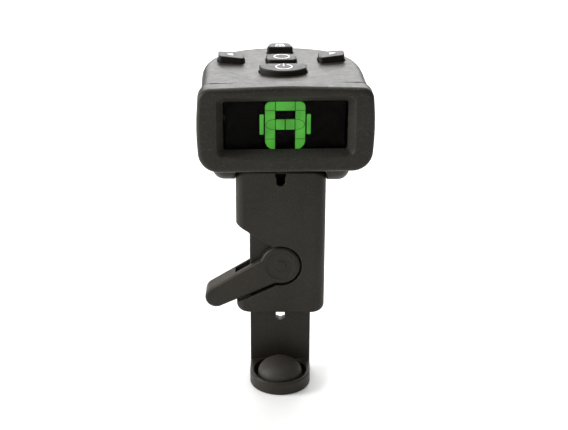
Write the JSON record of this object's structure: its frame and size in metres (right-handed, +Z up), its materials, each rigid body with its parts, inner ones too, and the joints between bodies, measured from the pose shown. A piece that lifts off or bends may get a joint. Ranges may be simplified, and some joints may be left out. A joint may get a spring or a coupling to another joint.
{
  "type": "clip-on instrument tuner",
  "caption": "Clip-on instrument tuner: display head with top buttons on a dual swivel, above a ratchet slide clamp with a release lever and a rubber-tipped jaw.",
  "frame": {"origin": "on the table, at the middle of the underside of the clamp's foot, on the clamp's mid-plane", "axes": "+Z up along the clamp's bar, -Y towards the viewer of the display, +X to the viewer's right"},
  "size_m": [0.0305, 0.0281, 0.0645],
  "materials": {
    "head_shell": "fine-textured black moulded plastic with a satin sheen",
    "clamp_plastic": "smooth black moulded plastic with slightly shiny edges",
    "button_rubber": "soft black button rubber with white printed symbols",
    "pad_rubber": "matt blue-grey-black rubber",
    "smoked_window": "clear window over a black display",
    "display_glass": "black negative display glass with lit green segments",
    "light_guide": "milky light guide",
    "circuit_board": "green solder mask",
    "black_epoxy": "black moulding compound",
    "silicone": "striped conductive silicone",
    "brass": "plain brass disc",
    "steel": "plated steel",
    "dark_steel": "black oxide screw steel",
    "red_wire": "red insulation",
    "black_wire": "black insulation"
  },
  "bodies": {
    "clamp_body": {"sleeve_front": "clamp_plastic", "sleeve_back": "clamp_plastic", "sleeve_screw_1": "dark_steel", "sleeve_screw_2": "dark_steel", "sleeve_screw_3": "dark_steel", "sleeve_screw_4": "dark_steel", "pivot_pin": "steel", "lever_spring": "steel"},
    "jaw": {"slide_bar": "clamp_plastic", "dome_pad": "pad_rubber"},
    "lever": {"release_lever": "clamp_plastic"},
    "swivel": {"swivel_base": "clamp_plastic", "hinge_axle": "steel", "swivel_retainer": "steel", "swivel_screw": "steel"},
    "head": {"top_shell": "head_shell", "bottom_shell": "head_shell", "front_bezel": "head_shell", "shell_screw_1": "steel", "shell_screw_2": "steel", "shell_screw_3": "steel", "shell_screw_4": "steel", "display_window": "smoked_window", "lcd_glass": "display_glass", "backlight_plate": "light_guide", "zebra_connector": "silicone", "display_board": "circuit_board", "board_header": "black_epoxy", "main_board": "circuit_board", "processor_chip": "black_epoxy", "timing_crystal": "steel", "piezo_sensor": "brass", "piezo_lead_red": "red_wire", "piezo_lead_black": "black_wire", "contact_positive": "steel", "contact_negative": "steel", "switch_power": "black_epoxy", "switch_centre": "black_epoxy", "switch_rear": "black_epoxy", "switch_left": "black_epoxy", "switch_right": "black_epoxy"},
    "drawer": {"battery_drawer": "head_shell", "coin_cell": "steel"},
    "power_button": {"button_power": "button_rubber"},
    "centre_button": {"button_centre": "button_rubber"},
    "rear_button": {"button_rear": "button_rubber"},
    "left_button": {"button_left": "button_rubber"},
    "right_button": {"button_right": "button_rubber"}
  },
  "joints": [
    {"name": "jaw_slide", "type": "slide", "parent": "clamp_body", "child": "jaw", "axis": [0, 0, 1], "range_m": [-0.0075, 0.0075]},
    {"name": "lever_lift", "type": "hinge", "parent": "clamp_body", "child": "lever", "pos_m": [0, 0.005, 0.02345], "axis": [0, 1, 0], "range_deg": [0, 50], "stiffness_Nm_per_rad": 0.01, "deforming": ["lever_spring"]},
    {"name": "head_tilt", "type": "hinge", "parent": "clamp_body", "child": "swivel", "pos_m": [0, 0.0057, 0.0442], "axis": [1, 0, 0], "range_deg": [-45, 60]},
    {"name": "head_swivel", "type": "hinge", "parent": "swivel", "child": "head", "pos_m": [0, 0.0057, 0.0484], "axis": [0, 0, 1], "continuous": true},
    {"name": "battery_drawer_slide", "type": "slide", "parent": "head", "child": "drawer", "axis": [-0.0506, 0.9987, 0], "range_m": [0, 0.022]},
    {"name": "power_press", "type": "slide", "parent": "head", "child": "power_button", "axis": [0, 0, -1], "range_m": [0, 0.0004], "stiffness_N_per_m": 20},
    {"name": "centre_press", "type": "slide", "parent": "head", "child": "centre_button", "axis": [0, 0, -1], "range_m": [0, 0.0004], "stiffness_N_per_m": 20},
    {"name": "rear_press", "type": "slide", "parent": "head", "child": "rear_button", "axis": [0, 0, -1], "range_m": [0, 0.0004], "stiffness_N_per_m": 20},
    {"name": "left_press", "type": "slide", "parent": "head", "child": "left_button", "axis": [0, 0, -1], "range_m": [0, 0.0004], "stiffness_N_per_m": 20},
    {"name": "right_press", "type": "slide", "parent": "head", "child": "right_button", "axis": [0, 0, -1], "range_m": [0, 0.0004], "stiffness_N_per_m": 20}
  ]
}
